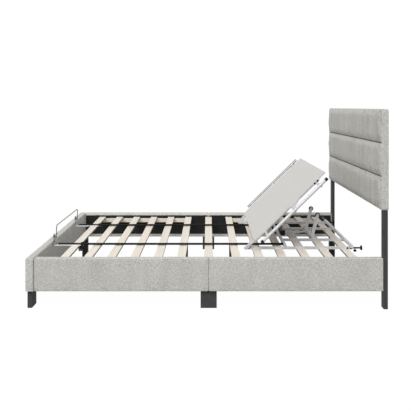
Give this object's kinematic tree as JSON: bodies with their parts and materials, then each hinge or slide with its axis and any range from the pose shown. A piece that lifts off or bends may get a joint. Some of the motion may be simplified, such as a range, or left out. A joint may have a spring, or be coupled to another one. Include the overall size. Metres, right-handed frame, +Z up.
{
  "type": "adjustable bed base",
  "caption": "Upholstered queen platform bed with headboard and wooden slats, and a powered head-lift panel, crank and foot stop lying on the slats.",
  "frame": {"origin": "on the floor under the middle of the bed's outline, legs standing on Z=0", "axes": "+X along the bed towards the headboard, +Y across it, +Z up"},
  "size_m": [2.14, 1.64, 1.179],
  "materials": {
    "linen": "light grey linen weave, matte",
    "lining": "plywood board faced with black non-woven lining",
    "birch": "pale birch plywood, satin",
    "leg_block": "matte black",
    "black_steel": "black powder coat",
    "silver_steel": "silver powder coat, satin",
    "black_plastic": "moulded black plastic",
    "rubber": "black rubber",
    "panel_board": "light grey laminated board, matte"
  },
  "bodies": {
    "bed": {"rail_cover_near_foot": "linen", "rail_board_near_foot": "lining", "ledger_near_foot": "birch", "rail_cover_near_head": "linen", "rail_board_near_head": "lining", "ledger_near_head": "birch", "head_leg_near": "black_steel", "centre_leg_near": "leg_block", "foot_leg_near": "leg_block", "joint_plate_near": "black_steel", "extension_bar_near": "black_steel", "bumper_near": "rubber", "rail_cover_far_foot": "linen", "rail_board_far_foot": "lining", "ledger_far_foot": "birch", "rail_cover_far_head": "linen", "rail_board_far_head": "lining", "ledger_far_head": "birch", "head_leg_far": "black_steel", "centre_leg_far": "leg_block", "foot_leg_far": "leg_block", "joint_plate_far": "black_steel", "extension_bar_far": "black_steel", "bumper_far": "rubber", "rail_cover_foot": "linen", "rail_board_foot": "lining", "headboard_cover": "linen", "headboard_board": "lining", "slat_01": "birch", "slat_02": "birch", "slat_03": "birch", "slat_04": "birch", "slat_05": "birch", "slat_06": "birch", "slat_07": "birch", "slat_08": "birch", "slat_09": "birch", "slat_10": "birch", "slat_11": "birch", "slat_12": "birch", "slat_13": "birch", "support_leg_1": "black_steel", "support_leg_2": "black_steel", "support_leg_3": "black_steel", "support_leg_4": "black_steel", "base_frame": "silver_steel", "actuator_tube": "silver_steel", "actuator_motor": "black_plastic"},
    "head_panel": {"head_board": "panel_board", "panel_frame": "silver_steel"},
    "lift_crank": {"lift_crank": "silver_steel"},
    "roller_near": {"roller_near": "black_plastic"},
    "roller_far": {"roller_far": "black_plastic"},
    "actuator_rod": {"actuator_rod": "silver_steel"},
    "foot_stop": {"stop_bracket_near": "silver_steel", "stop_bracket_far": "silver_steel", "retainer_wire": "silver_steel"},
    "lock_knob_near": {"lock_knob_near": "black_plastic"},
    "lock_knob_far": {"lock_knob_far": "black_plastic"}
  },
  "joints": [
    {"name": "head_lift", "type": "hinge", "parent": "bed", "child": "head_panel", "pos_m": [0.282, 0, 0.315], "axis": [0, -1, 0], "range_deg": [-44.3, 15.7]},
    {"name": "crank_turn", "type": "hinge", "parent": "bed", "child": "lift_crank", "pos_m": [0.727, 0, 0.2905], "axis": [0, -1, 0], "range_deg": [-75.6, 26.9]},
    {"name": "roller_spin_near", "type": "hinge", "parent": "lift_crank", "child": "roller_near", "pos_m": [0.76594, -0.14, 0.44001], "axis": [0, 1, 0], "continuous": true},
    {"name": "roller_spin_far", "type": "hinge", "parent": "lift_crank", "child": "roller_far", "pos_m": [0.76594, 0.14, 0.44001], "axis": [0, 1, 0], "continuous": true},
    {"name": "rod_slide", "type": "slide", "parent": "bed", "child": "actuator_rod", "axis": [0.998, 0, 0.0633], "range_m": [-0.00691, 0.01914]},
    {"name": "stop_slide", "type": "slide", "parent": "bed", "child": "foot_stop", "axis": [1, 0, 0], "range_m": [0, 0.055]},
    {"name": "knob_turn_near", "type": "hinge", "parent": "foot_stop", "child": "lock_knob_near", "pos_m": [-0.832, -0.34, 0.26], "axis": [0, 0, 1], "range_deg": [-180, 180]},
    {"name": "knob_turn_far", "type": "hinge", "parent": "foot_stop", "child": "lock_knob_far", "pos_m": [-0.832, 0.34, 0.26], "axis": [0, 0, 1], "range_deg": [-180, 180]}
  ],
  "couplings": [
    {"joint": "crank_turn", "follows": "head_lift", "ratio": 1.702},
    {"joint": "rod_slide", "follows": "head_lift", "m_per_rad": -0.0245}
  ]
}
